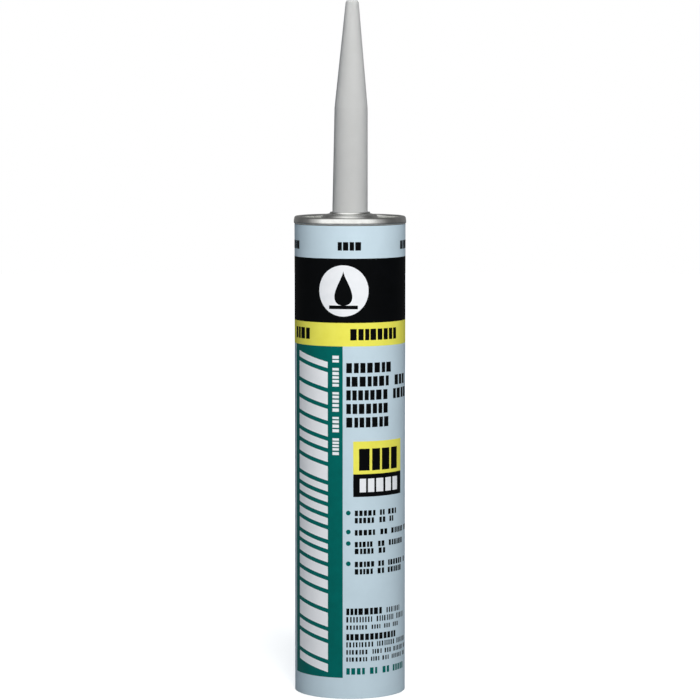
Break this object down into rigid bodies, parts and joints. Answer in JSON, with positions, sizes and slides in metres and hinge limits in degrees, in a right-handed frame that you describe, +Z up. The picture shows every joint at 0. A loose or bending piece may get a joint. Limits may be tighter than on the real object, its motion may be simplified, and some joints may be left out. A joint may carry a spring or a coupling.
{
  "type": "caulk tube",
  "caption": "Upright caulk tube: wound board tube in a printed label, rolled metal end, closed tapered nozzle and a plunger that slides up inside.",
  "frame": {"origin": "centre of the tube's open bottom edge, on the surface that it stands on", "axes": "+Z up the tube to the tip of the nozzle, -Y out of the front of the label, +X to the right seen from the front"},
  "size_m": [0.0508, 0.0508, 0.313],
  "materials": {
    "kraft_board": "matte wound board",
    "liner_foil": "dull foil",
    "label_paper": "satin printed paper",
    "tinplate": "bright tinplate",
    "gasket_rubber": "matte",
    "nozzle_polyethylene": "satin moulded plastic",
    "membrane_foil": "bright foil",
    "sealant_paste": "wet paste",
    "plunger_polyethylene": "satin moulded plastic"
  },
  "bodies": {
    "cartridge": {"tube_body": "kraft_board", "foil_liner": "liner_foil", "label": "label_paper", "top_end": "tinplate", "seam_gasket": "gasket_rubber", "nozzle": "nozzle_polyethylene", "nozzle_membrane": "membrane_foil", "sealant": "sealant_paste"},
    "plunger": {"plunger": "plunger_polyethylene"}
  },
  "joints": [
    {"name": "plunger_slide", "type": "slide", "parent": "cartridge", "child": "plunger", "axis": [0, 0, 1], "range_m": [0, 0.174], "deforming": ["sealant"]}
  ]
}
